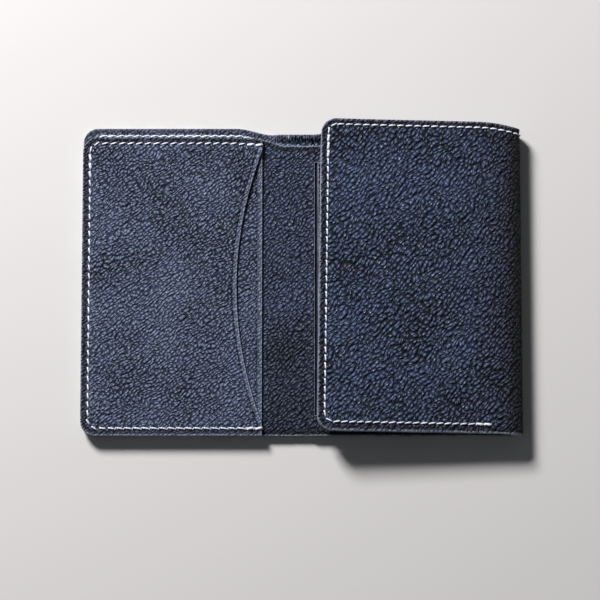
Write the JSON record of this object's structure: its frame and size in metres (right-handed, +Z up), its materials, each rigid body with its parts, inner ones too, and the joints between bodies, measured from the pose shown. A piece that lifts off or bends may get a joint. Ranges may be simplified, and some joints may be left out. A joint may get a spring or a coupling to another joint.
{
  "type": "trifold wallet",
  "caption": "Pebbled leather trifold wallet lying half open, its flap folded over the middle panel and side-loading card pockets sewn on the open left panel.",
  "frame": {"origin": "on the resting face, under the middle of the half-open wallet's outline", "axes": "+X from the left panel's free edge to the right fold, +Y to the mouth of the bill compartment, +Z up from the table"},
  "size_m": [0.148, 0.105, 0.0121],
  "materials": {
    "cover_leather": "navy pebbled cow leather, satin, pale raw cut edges",
    "inner_leather": "navy fine-pebbled leather, satin",
    "pocket_leather": "navy fine-pebbled leather, satin, edges turned in and creased",
    "lining_leather": "thin split navy leather, satin",
    "bag_cloth": "dark woven lining cloth",
    "seam_thread": "off-white bonded sewing thread"
  },
  "bodies": {
    "middle": {"cover_middle": "cover_leather", "bill_lining_middle": "lining_leather", "slip_pocket_bag": "bag_cloth", "inner_panel_middle": "inner_leather", "seam_thread_middle": "seam_thread", "top_seam_thread_middle": "seam_thread"},
    "left_fold": {"cover_left_fold": "cover_leather", "bill_lining_left_fold": "lining_leather", "inner_panel_left_fold": "inner_leather", "top_seam_thread_left_fold": "seam_thread"},
    "left_panel": {"cover_left": "cover_leather", "bill_lining_left": "lining_leather", "inner_panel_left": "inner_leather", "card_pocket_back": "pocket_leather", "card_pocket_front": "pocket_leather", "seam_thread_left": "seam_thread", "top_seam_thread_left": "seam_thread"},
    "right_fold": {"cover_right_fold": "cover_leather", "bill_lining_right_fold": "lining_leather", "inner_panel_right_fold": "inner_leather", "top_seam_thread_right_fold": "seam_thread"},
    "flap": {"cover_flap": "cover_leather", "bill_lining_flap": "lining_leather", "inner_panel_flap": "inner_leather", "card_pocket_flap": "pocket_leather", "seam_thread_flap_inside": "seam_thread", "seam_thread_flap_outside": "seam_thread", "top_seam_thread_flap_inside": "seam_thread"}
  },
  "joints": [
    {"name": "left_fold_turn", "type": "hinge", "parent": "middle", "child": "left_fold", "pos_m": [0.00341, 0, 0.0011], "axis": [0, 1, 0], "range_deg": [0, 90], "deforming": ["bill_lining_left_fold", "inner_panel_left_fold"]},
    {"name": "left_panel_turn", "type": "hinge", "parent": "left_fold", "child": "left_panel", "pos_m": [-0.01211, 0, 0.0011], "axis": [0, 1, 0], "range_deg": [0, 90]},
    {"name": "right_fold_turn", "type": "hinge", "parent": "middle", "child": "right_fold", "pos_m": [0.07291, 0, 0.0011], "axis": [0, 1, 0], "range_deg": [0, 90], "deforming": ["bill_lining_right_fold", "inner_panel_right_fold"]},
    {"name": "flap_turn", "type": "hinge", "parent": "right_fold", "child": "flap", "pos_m": [0.07291, 0, 0.0075], "axis": [0, 1, 0], "range_deg": [0, 87.5]}
  ],
  "couplings": [
    {"joint": "left_fold_turn", "follows": "left_panel_turn", "ratio": 1},
    {"joint": "right_fold_turn", "follows": "flap_turn", "ratio": 1.0286}
  ]
}
